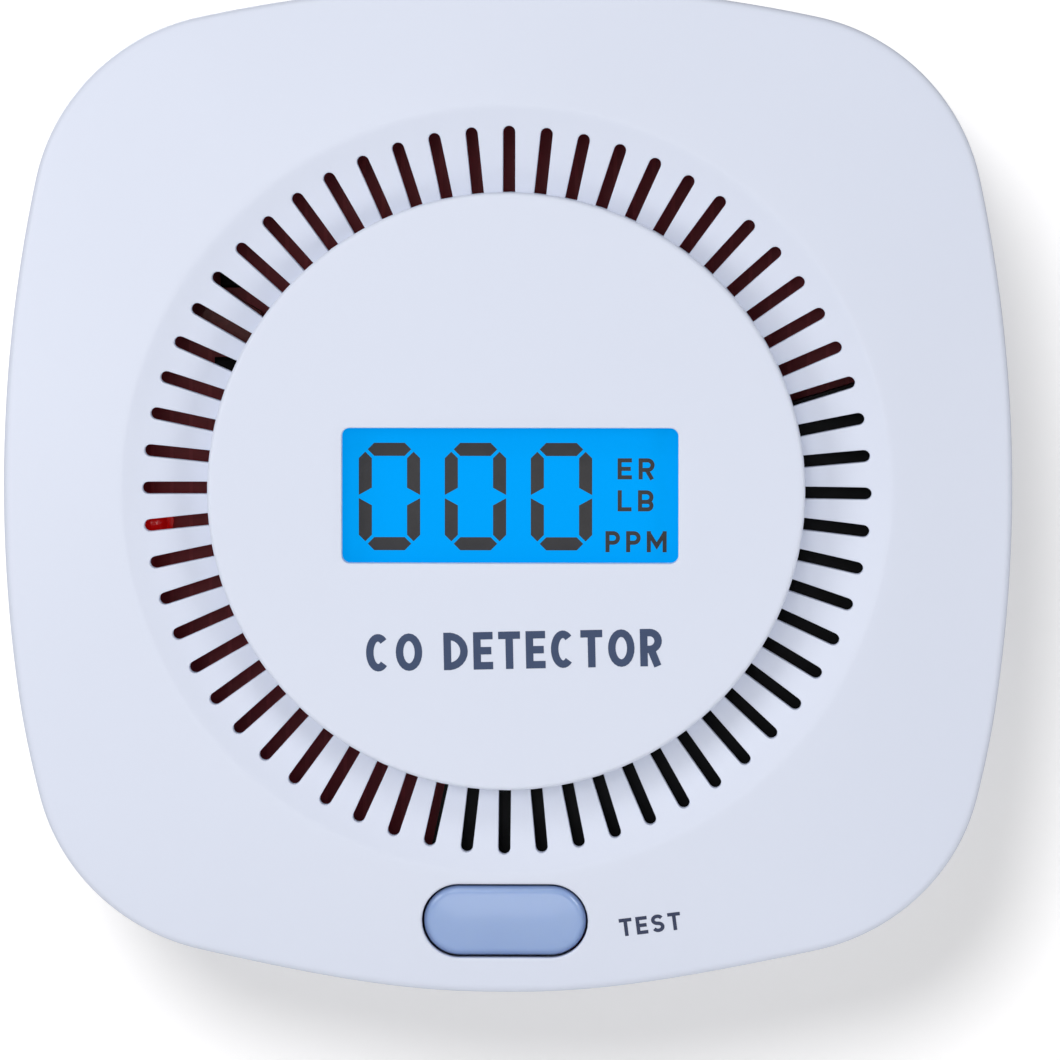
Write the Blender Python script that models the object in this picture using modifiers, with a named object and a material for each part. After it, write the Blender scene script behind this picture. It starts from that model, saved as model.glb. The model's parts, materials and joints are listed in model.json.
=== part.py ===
"""Carbon monoxide detector: a square, pillow-faced wall alarm with a ring of air slots.

The detector is built face up around its own axis, x to the right, y up the wall and z out of
the wall. The empty it hangs on then stands it against the wall, so that in world axes +X is
right, +Z is up and the face looks along -Y. The origin is the centre of the mounting plate's
flat back. Everything here is in metres.
"""
import math

import bmesh
import bpy

mm = 0.001

# Case outline: four bulged sides that run tangent into four corner arcs.
CASE_HALF = 50.0 * mm
SIDE_RADIUS = 146.4 * mm
CORNER_CENTRE = 26.4 * mm
OUTLINE_STEPS = 96
SHELL = 1.8 * mm
GAP = 0.3 * mm

# Heights above the wall.
PLATE_TOP = 2.6 * mm
BACK = 3.5 * mm
BACK_INNER = 6.0 * mm
SPLIT = 12.0 * mm
SHOULDER = 31.2 * mm
CREST = 34.2 * mm
TROUGH_FOOT = 32.4 * mm
FACE = 36.0 * mm

# Face: a raised disc inside a ring-shaped trough.
DISC_RADIUS = 29.5 * mm
DISC_ROUND = 0.5 * mm
TROUGH_RADIUS = 38.0 * mm
EDGE_ROUND = 2.2 * mm
DRAFT = 0.5 * mm

# Air slots in the trough.
SLOT_COUNT = 60
SLOT_WIDTH = 1.22 * mm
SLOT_OUTER = 36.05 * mm
SLOT_INNER = DISC_RADIUS - 0.3 * mm

# Display window and display.
WINDOW_SIZE = (33.2 * mm, 13.35 * mm)
WINDOW_CENTRE = (0.4 * mm, -0.37 * mm)
WINDOW_CORNER = 0.8 * mm
HOLDER_HALF = (20.0 * mm, 10.3 * mm)
HOLDER_POCKET = (18.6 * mm, 8.9 * mm)
HOLDER_TOP = 33.2 * mm
HOLDER_FLOOR = 27.5 * mm
GLASS_SIZE = (36.6 * mm, 20.0 * mm)
GLASS_SPAN = (31.0 * mm, 33.6 * mm)
BACKLIGHT_SIZE = (36.4 * mm, 17.0 * mm)
BACKLIGHT_SPAN = (27.8 * mm, 30.7 * mm)

# Test button.
BUTTON_CENTRE = (-0.2 * mm, -42.7 * mm)
BUTTON_SIZE = (16.2 * mm, 7.2 * mm)
BUTTON_CLEARANCE = 0.15 * mm
BUTTON_PLAY = 0.05 * mm
BUTTON_TILT = math.radians(17.7)
BUTTON_TOP = 32.9 * mm
BUTTON_FLANGE = 0.5 * mm
FLANGE_SPAN = (28.4 * mm, 29.1 * mm)
SWITCH_HALF = 3.0 * mm
SWITCH_TOP = 26.9 * mm
PLUNGER_RADIUS = 1.5 * mm
PLUNGER_SPAN = (26.4 * mm, 28.1 * mm)

# Circuit board and what stands on it.
BOARD_SPAN = (23.2 * mm, 24.8 * mm)
BOARD_RADIUS = 40.0 * mm
BOARD_TAB = (7.5 * mm, 46.3 * mm)
BOARD_SEAT = BOARD_SPAN[1] + GAP
CHAMBER_TOP = 29.6 * mm
CHAMBER_ARC = (-102.0, 17.0)
CHAMBER_RADII = (27.0 * mm, 37.5 * mm)
PIEZO_CENTRE = (13.5 * mm, -23.6 * mm)
PIEZO_RADIUS = 9.0 * mm
PIEZO_SPAN = (26.6 * mm, 27.0 * mm)
SENSOR_CENTRE = (-9.5 * mm, 18.0 * mm)
SENSOR_RADIUS = 6.4 * mm
LED_CENTRE = (-35.3 * mm, -3.4 * mm)
CAPACITOR_CENTRE = (-23.0 * mm, -9.5 * mm)
CHIP_CENTRE = (-15.0 * mm, -17.0 * mm)
CHIP_SIZE = (7.0 * mm, 7.0 * mm)

# Battery bay in the rear cover, with two AA cells head to tail.
BAY_HALF = (28.5 * mm, 15.7 * mm)
BAY_WALL = 1.4 * mm
BAY_FLOOR = 20.3 * mm
BAY_TOP = 21.7 * mm
CELL_RADIUS = 7.1 * mm
CELL_LENGTH = 50.0 * mm
CELL_OFFSET = 7.5 * mm
CELL_HEIGHT = 12.8 * mm
NUB_LENGTH = 1.2 * mm
CONTACT_THICKNESS = 0.4 * mm

# Battery door, which slides along +x to come free.
DOOR_HALF = (29.2 * mm, 16.4 * mm)
DOOR_SPAN = (3.6 * mm, 4.9 * mm)
DOOR_CORNER = 3.0 * mm
DOOR_TRAVEL = 4.0 * mm
RECESS_DEPTH = 5.2 * mm

# Bayonet: hooks on the mounting plate pass through arc slots in the rear cover.
PLATE_RADIUS = 44.5 * mm
HOOK_ANGLES = (45.0, 135.0, 225.0, 315.0)
HOOK_HALF_ARC = 6.0
HOOK_RADII = (39.0 * mm, 40.6 * mm)
LIP_RADIUS = 42.4 * mm
LIP_SPAN = (6.3 * mm, 7.5 * mm)
TWIST = 15.0
KEYHOLES = (-30.0 * mm, 30.0 * mm)
KEYHOLE_HEAD = 4.2 * mm
KEYHOLE_NECK = 2.2 * mm
KEYHOLE_DROP = 7.0 * mm

# Fasteners.
CASE_SCREWS = [(sx * 36.0 * mm, sy * 36.0 * mm) for sx in (-1, 1) for sy in (-1, 1)]
BOARD_SCREWS = [
    (24.5 * mm, 0.0),
    (-24.5 * mm, 0.0),
    (-5.0 * mm, -24.0 * mm),
    (8.0 * mm, 24.0 * mm),
]
BOSS_RADIUS = 2.6 * mm
BOSS_TOP = 31.4 * mm
BOSS_BORE = (1.3 * mm, 24.0 * mm)
POST_RADIUS = 2.2 * mm
POST_BORE = (1.0 * mm, 30.0 * mm)
TOWER_RADIUS = 3.4 * mm
SINK_RADIUS = 2.7 * mm
SINK_FLOOR = 8.4 * mm

# Blank rating label in a shallow pocket on the back.
LABEL_CENTRE = (0.0, -26.5 * mm)
LABEL_HALF = (16.0 * mm, 6.0 * mm)
LABEL_SPAN = (3.5 * mm, 3.7 * mm)


def clear_scene():
    for old in list(bpy.data.objects):
        bpy.data.objects.remove(old, do_unlink=True)


def make_collection(name):
    group = bpy.data.collections.new(name)
    bpy.context.scene.collection.children.link(group)
    return group


clear_scene()
PARTS = make_collection("co_detector")
CUTTERS = make_collection("co_detector_cutters")

stand = bpy.data.objects.new("wall_axis", None)
stand.rotation_euler = (math.pi / 2, 0, 0)
PARTS.objects.link(stand)


def finish(name, colour, roughness=0.45, metallic=0.0):
    material = bpy.data.materials.new(name)
    material.use_nodes = True
    shader = material.node_tree.nodes["Principled BSDF"]
    shader.inputs["Base Color"].default_value = (*colour, 1)
    shader.inputs["Roughness"].default_value = roughness
    shader.inputs["Metallic"].default_value = metallic
    return material


WHITE = finish("white_abs", (0.70, 0.74, 0.86), 0.42)
BUTTON_BLUE = finish("button_frost", (0.36, 0.46, 0.78), 0.25)
BOARD_RED = finish("board_red", (0.10, 0.012, 0.012), 0.4)
BLACK = finish("black_abs", (0.012, 0.012, 0.014), 0.5)
STEEL = finish("steel", (0.55, 0.56, 0.58), 0.3, 1.0)
BRASS = finish("brass", (0.72, 0.52, 0.22), 0.3, 1.0)
LCD_BLUE = finish("lcd_blue", (0.0, 0.35, 1.0), 0.3)
LED_RED = finish("led_red", (0.5, 0.01, 0.01), 0.15)
CELL_JACKET = finish("cell_jacket", (0.03, 0.05, 0.12), 0.3)
WIRE_RED = finish("wire_red", (0.5, 0.02, 0.02), 0.4)
WIRE_BLACK = finish("wire_black", (0.015, 0.015, 0.015), 0.4)
LABEL_SILVER = finish("label_silver", (0.62, 0.63, 0.65), 0.35)


# Outlines -----------------------------------------------------------------------------------

def case_radius(angle, inset=0.0):
    """Distance from the axis to the case outline, drawn in by inset, along one direction."""
    folded = abs((angle + math.pi / 4) % (math.pi / 2) - math.pi / 4)
    setback = SIDE_RADIUS - CASE_HALF
    reach = math.hypot(CORNER_CENTRE + setback, CORNER_CENTRE)
    side = SIDE_RADIUS - inset
    corner = SIDE_RADIUS - reach - inset
    tangent_x = side * (CORNER_CENTRE + setback) / reach - setback
    tangent_y = side * CORNER_CENTRE / reach
    if folded <= math.atan2(tangent_y, tangent_x):
        return math.sqrt(side**2 - (setback * math.sin(folded)) ** 2) - setback * math.cos(folded)
    across = CORNER_CENTRE * (math.sin(folded) - math.cos(folded))
    along = CORNER_CENTRE * (math.sin(folded) + math.cos(folded))
    return along + math.sqrt(corner**2 - across**2)


def polar(radius, degrees):
    angle = math.radians(degrees)
    return (radius * math.cos(angle), radius * math.sin(angle))


def arc(centre, radius, start, end, steps):
    """Points on an arc, ends included, angles in degrees."""
    points = []
    for i in range(steps + 1):
        x, y = polar(radius, start + (end - start) * i / steps)
        points.append((centre[0] + x, centre[1] + y))
    return points


def circle(centre, radius, steps):
    return arc(centre, radius, 0, 360, steps)[:-1]


def rounded_box(centre, half, corner, steps=4):
    points = []
    for start, sx, sy in ((0, 1, 1), (90, -1, 1), (180, -1, -1), (270, 1, -1)):
        middle = (centre[0] + sx * (half[0] - corner), centre[1] + sy * (half[1] - corner))
        points += arc(middle, corner, start, start + 90, steps)
    return points


def ring_sector(radii, start, end, steps):
    return arc((0, 0), radii[1], start, end, steps) + arc((0, 0), radii[0], end, start, steps)


def air_slot(degrees):
    """One radial slot: square where it meets the disc, round at its outer end."""
    half = SLOT_WIDTH / 2
    outline = [(SLOT_INNER, half), (SLOT_INNER, -half)]
    outline += arc((SLOT_OUTER - half, 0), half, -90, 90, 4)
    angle = math.radians(degrees)
    turn = (math.cos(angle), math.sin(angle))
    return [(x * turn[0] - y * turn[1], x * turn[1] + y * turn[0]) for x, y in outline]


def keyhole(x):
    """Screw head hole with a neck above it."""
    head = math.degrees(math.acos(KEYHOLE_NECK / KEYHOLE_HEAD))
    points = arc((x, 0), KEYHOLE_HEAD, 180 - head, 360 + head, 12)
    return points + arc((x, KEYHOLE_DROP), KEYHOLE_NECK, 0, 180, 6)


# Shapes -------------------------------------------------------------------------------------

def add(obj, material=None, cutter=False):
    """Put an object in its collection, on the stand, with its material."""
    (CUTTERS if cutter else PARTS).objects.link(obj)
    obj.parent = stand
    if cutter:
        obj.hide_render = True
        obj.display_type = "WIRE"
    elif material:
        obj.data.materials.clear()
        obj.data.materials.append(material)
    return obj


def slab(name, outlines, low, high, material=None, cutter=False):
    """A flat outline, with any holes nested in it, from height low to height high."""
    curve = bpy.data.curves.new(name, "CURVE")
    curve.dimensions = "2D"
    curve.fill_mode = "BOTH"
    curve.extrude = (high - low) / 2
    for outline in outlines:
        spline = curve.splines.new("POLY")
        spline.points.add(len(outline) - 1)
        for point, (x, y) in zip(spline.points, outline):
            point.co = (x, y, 0, 1)
        spline.use_cyclic_u = True
    flat = bpy.data.objects.new(name + "_outline", curve)
    bpy.context.scene.collection.objects.link(flat)
    evaluated = flat.evaluated_get(bpy.context.evaluated_depsgraph_get())
    mesh = bpy.data.meshes.new_from_object(evaluated)
    bpy.data.objects.remove(flat, do_unlink=True)
    welded = bmesh.new()
    welded.from_mesh(mesh)
    bmesh.ops.remove_doubles(welded, verts=welded.verts, dist=1e-6)
    bmesh.ops.recalc_face_normals(welded, faces=welded.faces)
    welded.to_mesh(mesh)
    welded.free()
    obj = bpy.data.objects.new(name, mesh)
    obj.location = (0, 0, (low + high) / 2)
    return add(obj, material, cutter)


def block(name, centre, size, low, high, material=None, cutter=False):
    half = (size[0] / 2, size[1] / 2)
    x, y = centre
    outline = [(x - half[0], y - half[1]), (x + half[0], y - half[1])]
    outline += [(x + half[0], y + half[1]), (x - half[0], y + half[1])]
    return slab(name, [outline], low, high, material, cutter)


def drum(name, centre, radius, low, high, sides=16, material=None, cutter=False):
    mesh = bpy.data.meshes.new(name)
    shape = bmesh.new()
    bmesh.ops.create_cone(
        shape, cap_ends=True, segments=sides, radius1=radius, radius2=radius, depth=high - low
    )
    shape.to_mesh(mesh)
    shape.free()
    obj = bpy.data.objects.new(name, mesh)
    obj.location = (*centre, (low + high) / 2)
    return add(smooth(obj), material, cutter)


def smooth(obj, limit=35.0):
    obj.data.shade_smooth()
    obj.data.set_sharp_from_angle(angle=math.radians(limit))
    return obj


def turned(name, centre, profile, sides, material):
    """A turned piece: the profile runs from the axis, out, down and back to the axis."""
    mesh = bpy.data.meshes.new(name)
    edges = [(i, i + 1) for i in range(len(profile) - 1)]
    mesh.from_pydata([(radius, 0, height) for radius, height in profile], edges, [])
    obj = bpy.data.objects.new(name, mesh)
    obj.location = (*centre, 0)
    screw = obj.modifiers.new("turn", "SCREW")
    screw.steps = sides
    screw.render_steps = sides
    screw.use_merge_vertices = True
    screw.merge_threshold = 1e-6
    return add(obj, material)


def loft(name, rings, capped, material=None, cutter=False):
    """A skin over rings of points, closed at both ends if capped, else only at the first."""
    shape = bmesh.new()
    loops = [[shape.verts.new(point) for point in ring] for ring in rings]
    for inner, outer in zip(loops, loops[1:]):
        for i in range(len(inner)):
            shape.faces.new((inner[i - 1], outer[i - 1], outer[i], inner[i]))
    shape.faces.new(loops[0])
    if capped:
        shape.faces.new(reversed(loops[-1]))
    bmesh.ops.recalc_face_normals(shape, faces=shape.faces)
    mesh = bpy.data.meshes.new(name)
    shape.to_mesh(mesh)
    shape.free()
    return add(bpy.data.objects.new(name, mesh), material, cutter)


def combine(obj, other, operation="DIFFERENCE"):
    boolean = obj.modifiers.new(other.name, "BOOLEAN")
    boolean.operation = operation
    boolean.object = other
    boolean.solver = "EXACT"
    return obj


def wire(name, route, radius, material, resolution=2):
    """A round wire along a list of points."""
    curve = bpy.data.curves.new(name, "CURVE")
    curve.dimensions = "3D"
    curve.bevel_depth = radius
    curve.bevel_resolution = resolution
    curve.use_fill_caps = True
    spline = curve.splines.new("POLY")
    spline.points.add(len(route) - 1)
    for point, place in zip(spline.points, route):
        point.co = (*place, 1)
    return add(bpy.data.objects.new(name, curve), material)


def bevel(obj, width, segments=2):
    edge = obj.modifiers.new("edges", "BEVEL")
    edge.width = width
    edge.segments = segments
    edge.limit_method = "ANGLE"
    edge.angle_limit = math.radians(50)
    return obj


# Case ---------------------------------------------------------------------------------------

def directions():
    return [2 * math.pi * i / OUTLINE_STEPS for i in range(OUTLINE_STEPS)]


def round_ring(radius, height):
    return [(radius * math.cos(a), radius * math.sin(a), height) for a in directions()]


def case_ring(inset, height):
    ring = []
    for angle in directions():
        radius = case_radius(angle, inset)
        ring.append((radius * math.cos(angle), radius * math.sin(angle), height))
    return ring


def face_height(blend):
    """The face falls away from the trough's crest, faster towards the shoulder."""
    return CREST - (CREST - SHOULDER) * blend**1.6


def face_ring(blend):
    """A ring between the trough's crest and the shoulder."""
    ring = []
    for angle in directions():
        outer = case_radius(angle, DRAFT + EDGE_ROUND)
        radius = TROUGH_RADIUS + (outer - TROUGH_RADIUS) * blend
        ring.append((radius * math.cos(angle), radius * math.sin(angle), face_height(blend)))
    return ring


def make_front_cover():
    rings = [
        round_ring(DISC_RADIUS - DISC_ROUND, FACE),
        round_ring(DISC_RADIUS, FACE - DISC_ROUND),
        round_ring(DISC_RADIUS, TROUGH_FOOT),
    ]
    rings += [face_ring(blend) for blend in (0.0, 0.35, 0.7, 1.0)]
    rings += [
        case_ring(DRAFT + 0.65 * mm, SHOULDER - 0.65 * mm),
        case_ring(DRAFT, SHOULDER - EDGE_ROUND),
        case_ring(0.0, SPLIT + GAP),
    ]
    cover = loft("front_cover", rings, False, WHITE)
    shell = cover.modifiers.new("shell", "SOLIDIFY")
    shell.thickness = SHELL
    shell.offset = -1
    shell.use_even_offset = True
    for i, place in enumerate(CASE_SCREWS):
        boss = drum(f"boss_{i + 1}", place, BOSS_RADIUS, SPLIT + GAP, BOSS_TOP, 12, cutter=True)
        combine(cover, boss, "UNION")
        radius, top = BOSS_BORE
        bore = drum(f"boss_bore_{i + 1}", place, radius, SPLIT, top, 8, cutter=True)
        combine(cover, bore)
    for i, place in enumerate(BOARD_SCREWS):
        under = FACE - SHELL + 0.5 * mm
        post = drum(f"post_{i + 1}", place, POST_RADIUS, BOARD_SEAT, under, 12, cutter=True)
        combine(cover, post, "UNION")
        radius, top = POST_BORE
        bore = drum(f"post_bore_{i + 1}", place, radius, BOARD_SPAN[0], top, 8, cutter=True)
        combine(cover, bore)
    slots = [air_slot(360 / SLOT_COUNT * i) for i in range(SLOT_COUNT)]
    combine(cover, slab("air_slots", slots, 28 * mm, CREST + 0.2 * mm, cutter=True))
    half = (WINDOW_SIZE[0] / 2, WINDOW_SIZE[1] / 2)
    window = rounded_box(WINDOW_CENTRE, half, WINDOW_CORNER, 2)
    combine(cover, slab("window", [window], 32 * mm, 38 * mm, cutter=True))
    hole = stadium(BUTTON_CLEARANCE)
    combine(cover, slab("button_hole", [hole], 26 * mm, 38 * mm, cutter=True))
    return cover


def stadium(grow):
    """The test button's outline, grown by a margin."""
    half = (BUTTON_SIZE[0] / 2 + grow, BUTTON_SIZE[1] / 2 + grow)
    return rounded_box(BUTTON_CENTRE, half, half[1] - 0.05 * mm, 6)


def make_rear_cover():
    rings = [
        case_ring(4.0 * mm, BACK),
        case_ring(1.5 * mm, BACK + 0.7 * mm),
        case_ring(0.7 * mm, BACK + 2.6 * mm),
        case_ring(0.3 * mm, SPLIT),
    ]
    cover = loft("rear_cover", rings, True, WHITE)

    inside = loft(
        "rear_inside",
        [case_ring(SHELL + 0.7 * mm, BACK_INNER), case_ring(SHELL + 0.3 * mm, BAY_TOP + 3 * mm)],
        True,
        cutter=True,
    )
    tray = block("bay_block", (0, 0), bay_size(BAY_WALL), BACK, BAY_TOP, cutter=True)
    combine(inside, tray)
    for i, place in enumerate(CASE_SCREWS):
        tower = drum(f"tower_{i + 1}", place, TOWER_RADIUS, BACK, SPLIT, 12, cutter=True)
        combine(inside, tower)
    riser = block("bay_riser", (0, 0), bay_size(BAY_WALL), BACK_INNER - mm, BAY_TOP, cutter=True)
    combine(cover, riser, "UNION")
    combine(cover, inside)

    combine(cover, block("bay", (0, 0), bay_size(0), 3 * mm, BAY_FLOOR, cutter=True))
    recess_half = (DOOR_HALF[0] + GAP + DOOR_TRAVEL / 2, DOOR_HALF[1] + GAP)
    recess = rounded_box((DOOR_TRAVEL / 2, 0), recess_half, DOOR_CORNER)
    combine(cover, slab("door_recess", [recess], 3 * mm, RECESS_DEPTH, cutter=True))
    for row in (-1, 1):
        place = (-BAY_HALF[0] + 1.0 * mm, row * CELL_OFFSET)
        tab = block(f"tab_hole_{row}", place, (1.6 * mm, 4 * mm), 19 * mm, 23 * mm, cutter=True)
        combine(cover, tab)
    pocket_half = (LABEL_HALF[0] + GAP, LABEL_HALF[1] + GAP)
    pocket = rounded_box(LABEL_CENTRE, pocket_half, 1.3 * mm, 3)
    combine(cover, slab("label_pocket", [pocket], 3 * mm, LABEL_SPAN[1] + GAP, cutter=True))
    for angle in HOOK_ANGLES:
        add_bayonet_slot(cover, angle)
    for i, place in enumerate(CASE_SCREWS):
        sink = drum(f"sink_{i + 1}", place, SINK_RADIUS, 3 * mm, SINK_FLOOR, 12, cutter=True)
        combine(cover, sink)
        hole = drum(f"screw_hole_{i + 1}", place, 1.4 * mm, 8 * mm, 13 * mm, 8, cutter=True)
        combine(cover, hole)
    return cover


def bay_size(grow):
    return (2 * (BAY_HALF[0] + grow), 2 * (BAY_HALF[1] + grow))


def add_bayonet_slot(cover, angle):
    """An arc slot as wide as the hook's post, with a wide end where its lip can pass."""
    end = angle - TWIST
    narrow = (HOOK_RADII[0] - 0.4 * mm, HOOK_RADII[1] + 0.4 * mm)
    wide = (HOOK_RADII[0] - 0.4 * mm, LIP_RADIUS + 0.4 * mm)
    reach = HOOK_HALF_ARC + 0.6
    outline = arc((0, 0), narrow[0], end - reach, angle + reach, 8)
    outline += arc((0, 0), narrow[1], angle + reach, end + reach + 0.4, 4)
    outline += arc((0, 0), wide[1], end + reach + 0.4, end - reach, 4)
    name = f"bayonet_slot_{angle:.0f}"
    combine(cover, slab(name, [outline], 3 * mm, BACK_INNER + 0.5 * mm, cutter=True))


# Mounting plate and door --------------------------------------------------------------------

def make_wall_plate():
    outlines = [circle((0, 0), PLATE_RADIUS, 64)]
    outlines += [keyhole(x) for x in KEYHOLES]
    plate = slab("wall_plate", outlines, 0, PLATE_TOP, WHITE)
    for angle in HOOK_ANGLES:
        start, end = angle - HOOK_HALF_ARC, angle + HOOK_HALF_ARC
        post = ring_sector(HOOK_RADII, start, end, 3)
        low = PLATE_TOP - 0.8 * mm
        name = f"hook_{angle:.0f}"
        combine(plate, slab(name + "_post", [post], low, LIP_SPAN[1], cutter=True), "UNION")
        lip = ring_sector((HOOK_RADII[0] + 0.5 * mm, LIP_RADIUS), start, end, 3)
        combine(plate, slab(name + "_lip", [lip], *LIP_SPAN, cutter=True), "UNION")
    return plate


def make_battery_door():
    outline = rounded_box((0, 0), DOOR_HALF, DOOR_CORNER)
    door = slab("battery_door", [outline], *DOOR_SPAN, WHITE)
    for i in range(5):
        place = (-22.0 * mm + 2.2 * mm * i, 0)
        groove = block(f"grip_{i + 1}", place, (1.0 * mm, 12 * mm), 3 * mm, 4.1 * mm, cutter=True)
        combine(door, groove)
    return door


# Batteries ----------------------------------------------------------------------------------

def make_cell(name, y, forward):
    """An AA cell along x, its nub towards +x when forward is 1 and towards -x when it is -1."""
    body_end = CELL_LENGTH - NUB_LENGTH
    profile = [
        (0, CELL_LENGTH),
        (2.6 * mm, CELL_LENGTH),
        (2.6 * mm, body_end),
        (6.4 * mm, body_end),
        (CELL_RADIUS, body_end - 0.7 * mm),
        (CELL_RADIUS, 0.6 * mm),
        (6.5 * mm, 0),
        (0, 0),
    ]
    cell = turned(name, (0, 0), profile, 20, CELL_JACKET)
    cell.rotation_euler = (0, forward * math.pi / 2, 0)
    start = BAY_HALF[0] - 0.3 * mm - CONTACT_THICKNESS - 0.4 * mm - CELL_LENGTH
    cell.location = (forward * start, y, CELL_HEIGHT)
    return cell


def make_spring(name, y, forward):
    """A conical battery spring between the contact plate and the cell's flat end."""
    turns, per_turn = 4, 10
    plate = -(BAY_HALF[0] - 0.3 * mm - CONTACT_THICKNESS)
    cell = BAY_HALF[0] - 0.7 * mm - CONTACT_THICKNESS - CELL_LENGTH
    start, end = plate + 0.75 * mm, cell - 0.75 * mm
    route = []
    for i in range(turns * per_turn + 1):
        part = i / (turns * per_turn)
        radius = 4.4 * mm - 2.0 * mm * part
        angle = 2 * math.pi * i / per_turn
        x = forward * (start + (end - start) * part)
        height = CELL_HEIGHT + radius * math.sin(angle)
        route.append((x, y + radius * math.cos(angle), height))
    return wire(name, route, 0.4 * mm, STEEL, 1)


def make_contact(name, side, rows, tab):
    """A sprung steel plate at one end of the bay, with a solder tab through the bay's floor."""
    low, high = CELL_OFFSET * min(rows) - 5.5 * mm, CELL_OFFSET * max(rows) + 5.5 * mm
    middle = (low + high) / 2
    foot, head, lug_top, lug_half = 7.0 * mm, 19.0 * mm, 22.4 * mm, 1.2 * mm
    outline = [(low, foot), (high, foot), (high, head)]
    if tab:
        outline += [(middle + lug_half, head), (middle + lug_half, lug_top)]
        outline += [(middle - lug_half, lug_top), (middle - lug_half, head)]
    outline.append((low, head))
    plate = slab(name, [outline], -CONTACT_THICKNESS / 2, CONTACT_THICKNESS / 2, STEEL)
    plate.rotation_euler = (math.pi / 2, 0, math.pi / 2)
    plate.location.x = side * (BAY_HALF[0] - GAP - CONTACT_THICKNESS / 2)
    return plate


def make_batteries():
    make_cell("battery_upper", CELL_OFFSET, 1)
    make_cell("battery_lower", -CELL_OFFSET, -1)
    make_spring("battery_spring_upper", CELL_OFFSET, 1)
    make_spring("battery_spring_lower", -CELL_OFFSET, -1)
    make_contact("contact_negative", -1, (1, 1), True)
    make_contact("contact_positive", -1, (-1, -1), True)
    make_contact("contact_bridge", 1, (-1, 1), False)
    for name, row, material in (("wire_black", 1, WIRE_BLACK), ("wire_red", -1, WIRE_RED)):
        make_battery_wire(name, row, material)


def make_battery_wire(name, row, material):
    """From beside the solder tab, out past the bay and up to the back of the board."""
    y = row * CELL_OFFSET
    height = (BAY_TOP + BOARD_SPAN[0]) / 2
    start = -(BAY_HALF[0] + 0.4 * mm)
    route = [
        (start, y, height),
        (start - 1.5 * mm, y, height),
        (start - 3.0 * mm, y + row * 0.6 * mm, height - 0.6 * mm),
        (start - 4.6 * mm, y + row * 1.8 * mm, height - 1.0 * mm),
        (start - 6.2 * mm, y + row * 3.0 * mm, height - 0.7 * mm),
        (start - 7.4 * mm, y + row * 4.0 * mm, height - 0.05 * mm),
    ]
    return wire(name, route, 0.42 * mm, material)


# Circuit board ------------------------------------------------------------------------------

def make_board():
    """A round board with a tab at the bottom that reaches under the test button."""
    half, drop = BOARD_TAB
    meet = math.degrees(math.asin(half / BOARD_RADIUS))
    outline = arc((0, 0), BOARD_RADIUS, -90 + meet, 270 - meet, 60)
    outline += [(-half, -drop + 1 * mm), (-half + 1 * mm, -drop)]
    outline += [(half - 1 * mm, -drop), (half, -drop + 1 * mm)]
    holes = [circle(place, 1.1 * mm, 10) for place in BOARD_SCREWS]
    return slab("main_pcb", [outline] + holes, *BOARD_SPAN, BOARD_RED)


def make_sound_chamber():
    """A black moulding along the lower right of the slots, with the sounder's drum beside it."""
    span = (BOARD_SEAT, CHAMBER_TOP)
    sector = ring_sector(CHAMBER_RADII, *CHAMBER_ARC, 20)
    chamber = slab("sound_chamber", [sector], *span, BLACK)
    barrel = drum("chamber_drum", PIEZO_CENTRE, PIEZO_RADIUS + 2 * mm, *span, 32, cutter=True)
    combine(chamber, barrel, "UNION")
    bore = PIEZO_RADIUS + GAP
    hollow = drum("chamber_hollow", PIEZO_CENTRE, bore, 24 * mm, 28.2 * mm, 32, cutter=True)
    combine(chamber, hollow)
    port = drum("chamber_port", PIEZO_CENTRE, 2.5 * mm, 28 * mm, 31 * mm, 12, cutter=True)
    combine(chamber, port)
    drum("piezo_disc", PIEZO_CENTRE, PIEZO_RADIUS, *PIEZO_SPAN, 32, BRASS)
    return chamber


def make_display():
    """A black holder with the light guide and the glass in its pocket, the glass on top."""
    size = [2 * half for half in HOLDER_HALF]
    hollow = [2 * half for half in HOLDER_POCKET]
    above = FACE - mm
    holder = block("lcd_holder", WINDOW_CENTRE, size, BOARD_SEAT, HOLDER_TOP, BLACK)
    pocket = block("lcd_pocket", WINDOW_CENTRE, hollow, HOLDER_FLOOR, above, cutter=True)
    combine(holder, pocket)
    ledge_centre = (WINDOW_CENTRE[0], WINDOW_CENTRE[1] - 9.6 * mm)
    low = GLASS_SPAN[0] - GAP
    ledge = block("lcd_ledge", ledge_centre, (hollow[0], 3 * mm), low, above, cutter=True)
    combine(holder, ledge)
    glass_centre = (WINDOW_CENTRE[0], WINDOW_CENTRE[1] - 1.4 * mm)
    block("lcd_glass", glass_centre, GLASS_SIZE, *GLASS_SPAN, LCD_BLUE)
    block("lcd_backlight", WINDOW_CENTRE, BACKLIGHT_SIZE, *BACKLIGHT_SPAN, LCD_BLUE)
    make_display_pins()
    return holder


def make_display_pins():
    """The row of pins from the glass's lower ledge down to the board, as one comb."""
    count, pitch, half = 12, 2.0 * mm, 0.3 * mm
    rail = GLASS_SPAN[0] - GAP
    left = -(count - 1) * pitch / 2
    outline = [(-left + half, rail), (left - half, rail)]
    for i in range(count):
        x = left + pitch * i
        outline += [(x - half, BOARD_SEAT), (x + half, BOARD_SEAT)]
        if i < count - 1:
            outline += [(x + half, rail - 0.8 * mm), (x + pitch - half, rail - 0.8 * mm)]
    pins = slab("lcd_pins", [outline], -0.25 * mm, 0.25 * mm, STEEL)
    pins.rotation_euler = (math.pi / 2, 0, 0)
    pins.location = (WINDOW_CENTRE[0], WINDOW_CENTRE[1] - 10.9 * mm, 0)
    return pins


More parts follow.
